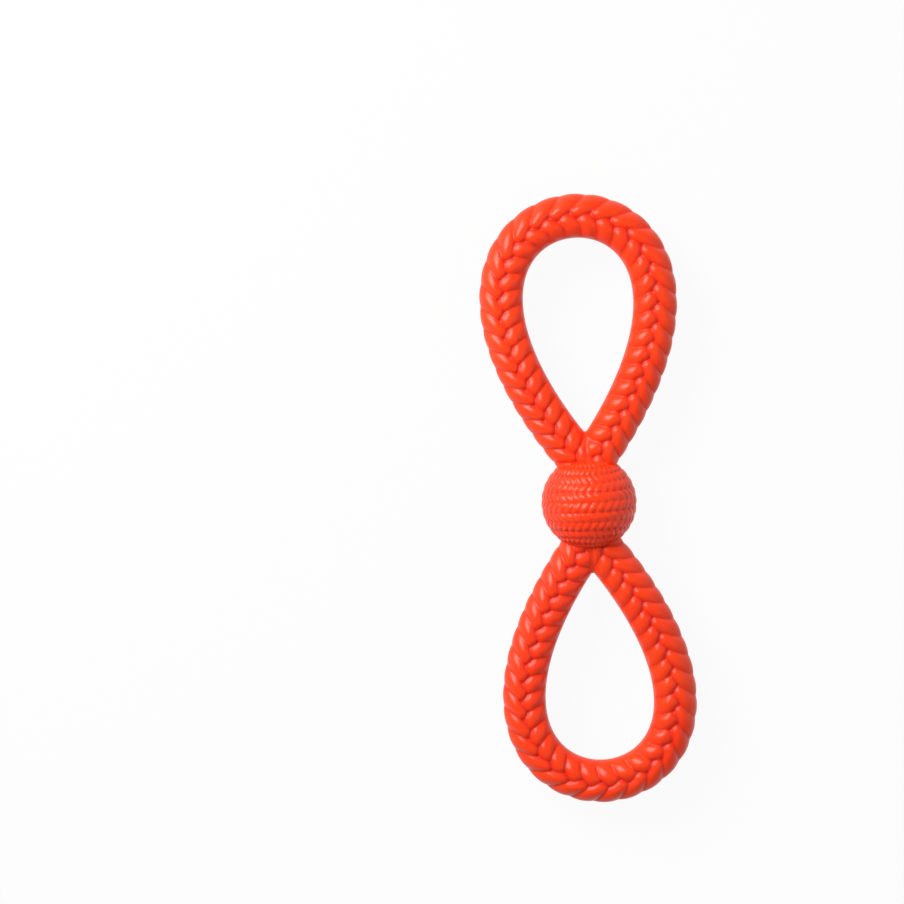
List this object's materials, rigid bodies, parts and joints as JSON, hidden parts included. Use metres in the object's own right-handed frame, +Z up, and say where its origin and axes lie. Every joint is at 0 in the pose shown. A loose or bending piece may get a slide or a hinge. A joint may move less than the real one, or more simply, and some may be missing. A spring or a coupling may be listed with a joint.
{
  "type": "dog tug toy",
  "caption": "Rubber tug toy for dogs: a plaited figure of eight with a braided ball between its teardrop loops.",
  "frame": {"origin": "centre of the ball, which is the centre of the bounding box", "axes": "+Y along the toy from the ball to the upper loop's far end, +X to the right across the loops, +Z up out of the plane of the figure of eight, through the holes of the loops"},
  "size_m": [0.086, 0.2706, 0.0416],
  "materials": {
    "upper_loop": "satin orange-red moulded rubber with a plaited relief",
    "lower_loop": "satin orange-red moulded rubber with a plaited relief",
    "centre_ball": "satin orange-red moulded rubber with a braided relief"
  },
  "bodies": {
    "root": {"upper_loop": "upper_loop", "lower_loop": "lower_loop", "centre_ball": "centre_ball"}
  },
  "joints": []
}
